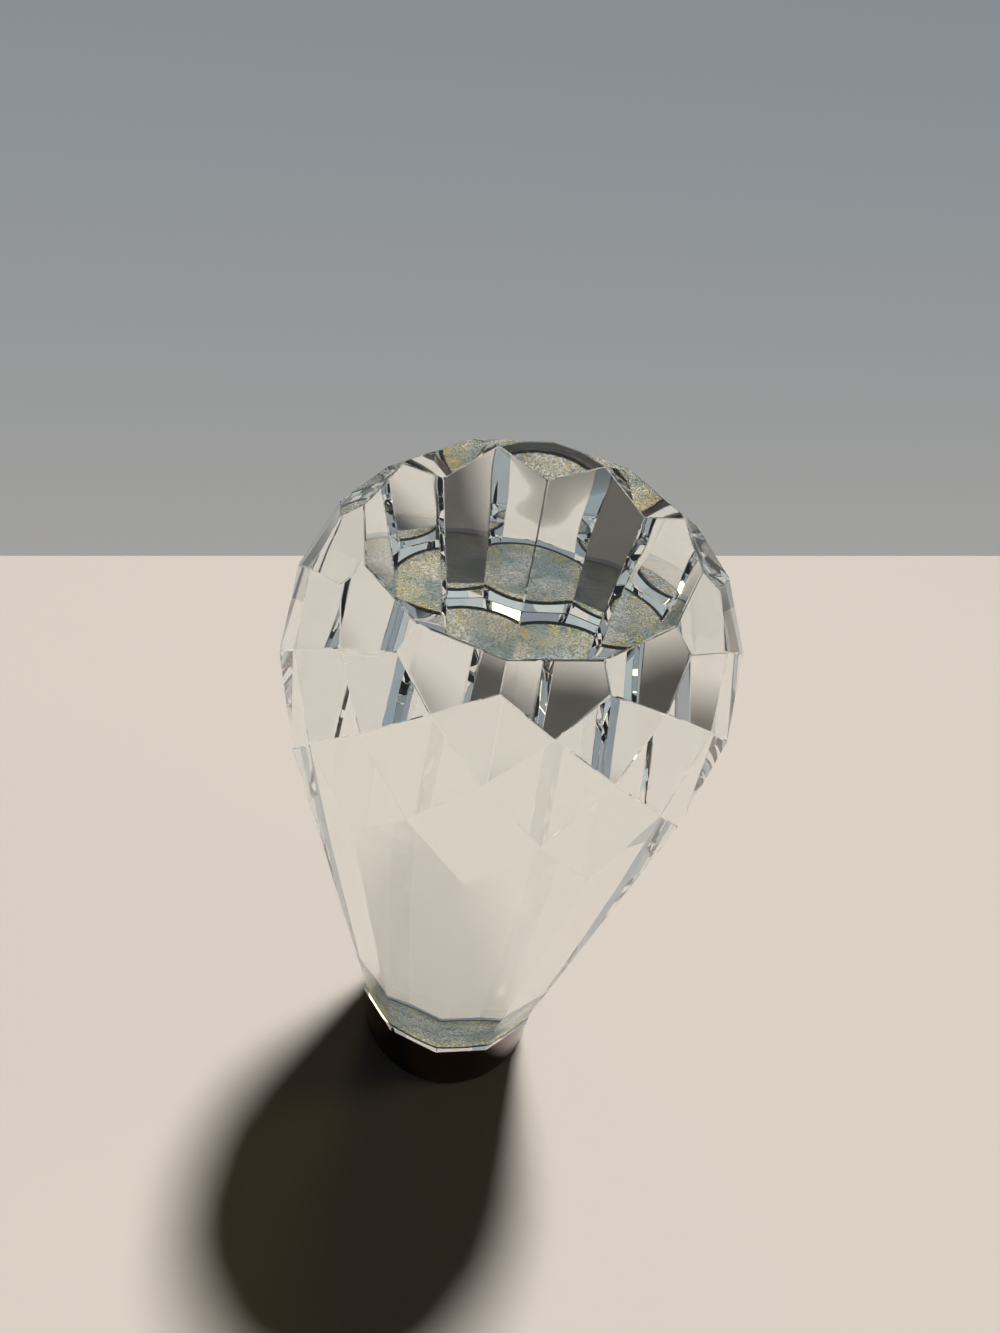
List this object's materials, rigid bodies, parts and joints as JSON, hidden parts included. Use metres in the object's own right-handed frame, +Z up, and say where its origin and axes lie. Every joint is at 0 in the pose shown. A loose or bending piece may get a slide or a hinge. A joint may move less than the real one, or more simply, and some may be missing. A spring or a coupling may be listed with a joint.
{
  "type": "curtain pole finial",
  "caption": "Faceted clear crystal finial with a large flat table, tapering to a narrow foot bonded to a round dark polished metal collar that slips over a curtain pole's end.",
  "frame": {"origin": "middle of the collar's mouth, on the plane it stands on", "axes": "+Z up along the pole's axis, from the collar to the crystal's table; +Y is the side of the collar with the grub screw; corners of the table lie on +X and +Y"},
  "size_m": [0.061, 0.061, 0.1281],
  "materials": {
    "crystal": "clear optical glass, cut and polished to flat facets with sharp arrises",
    "bond": "cured adhesive film, crinkled and silvery where it meets the metal",
    "collar": "turned metal, dark bronze plating, polished",
    "grub_screw": "plain steel with a hexagonal key socket"
  },
  "bodies": {
    "root": {"crystal": "crystal", "bond": "bond", "collar": "collar", "grub_screw": "grub_screw"}
  },
  "joints": []
}
